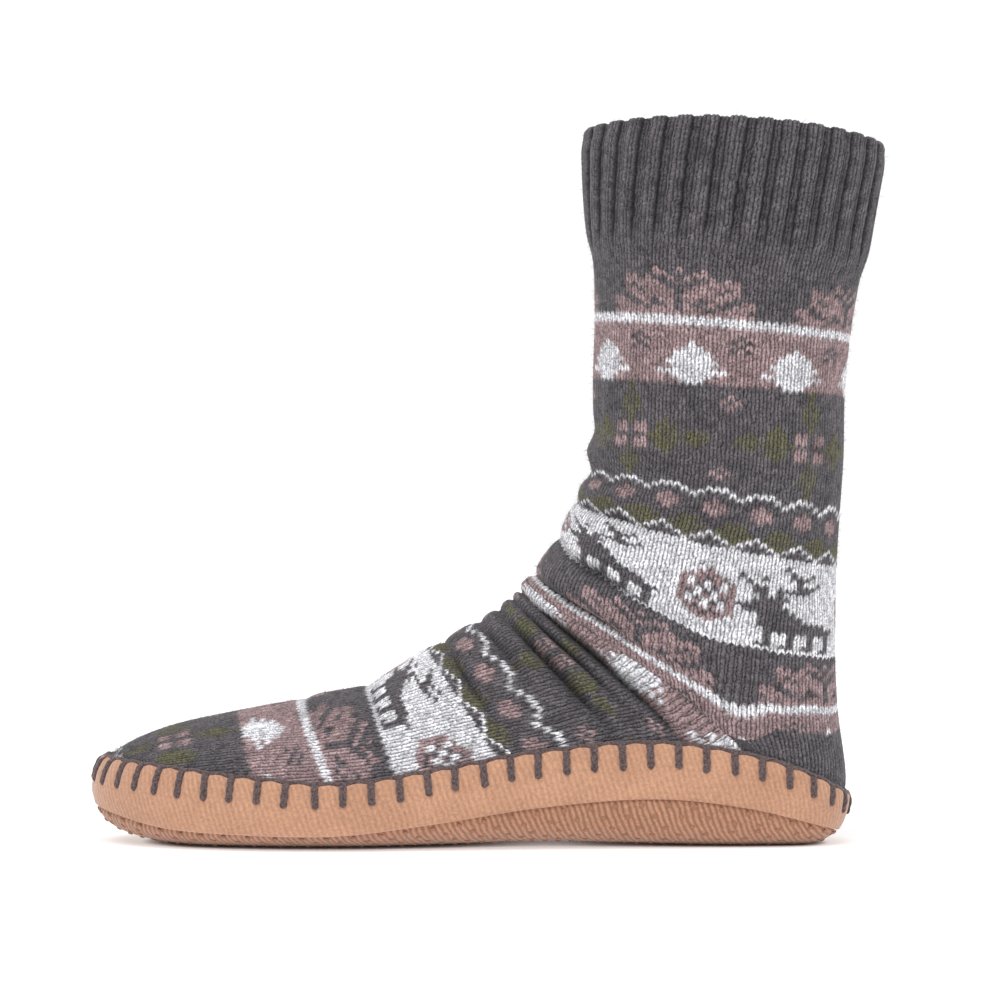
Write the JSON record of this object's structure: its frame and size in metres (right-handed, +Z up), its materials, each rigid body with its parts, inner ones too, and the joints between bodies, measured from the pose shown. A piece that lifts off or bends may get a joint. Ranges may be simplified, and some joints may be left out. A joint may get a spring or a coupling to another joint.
{
  "type": "slipper sock",
  "caption": "Knitted slipper sock with a ribbed cuff and patterned leg, a suede band stitched round the foot and a ribbed grip sole.",
  "frame": {"origin": "on the floor, under the centre of the whole sock's box", "axes": "+Z up, -X towards the toe, +X towards the heel, -Y towards the outer side of the foot"},
  "size_m": [0.2824, 0.1014, 0.2538],
  "materials": {
    "knit": "patterned jacquard knit, charcoal with white, dusty brown and olive",
    "suede": "soft tan faux suede",
    "grip": "ribbed tan faux suede with small grip dots",
    "pad": "soft grey fleece"
  },
  "bodies": {
    "root": {"knit_upper": "knit", "suede_band": "suede", "grip_sole": "grip", "insole_pad": "pad"}
  },
  "joints": []
}
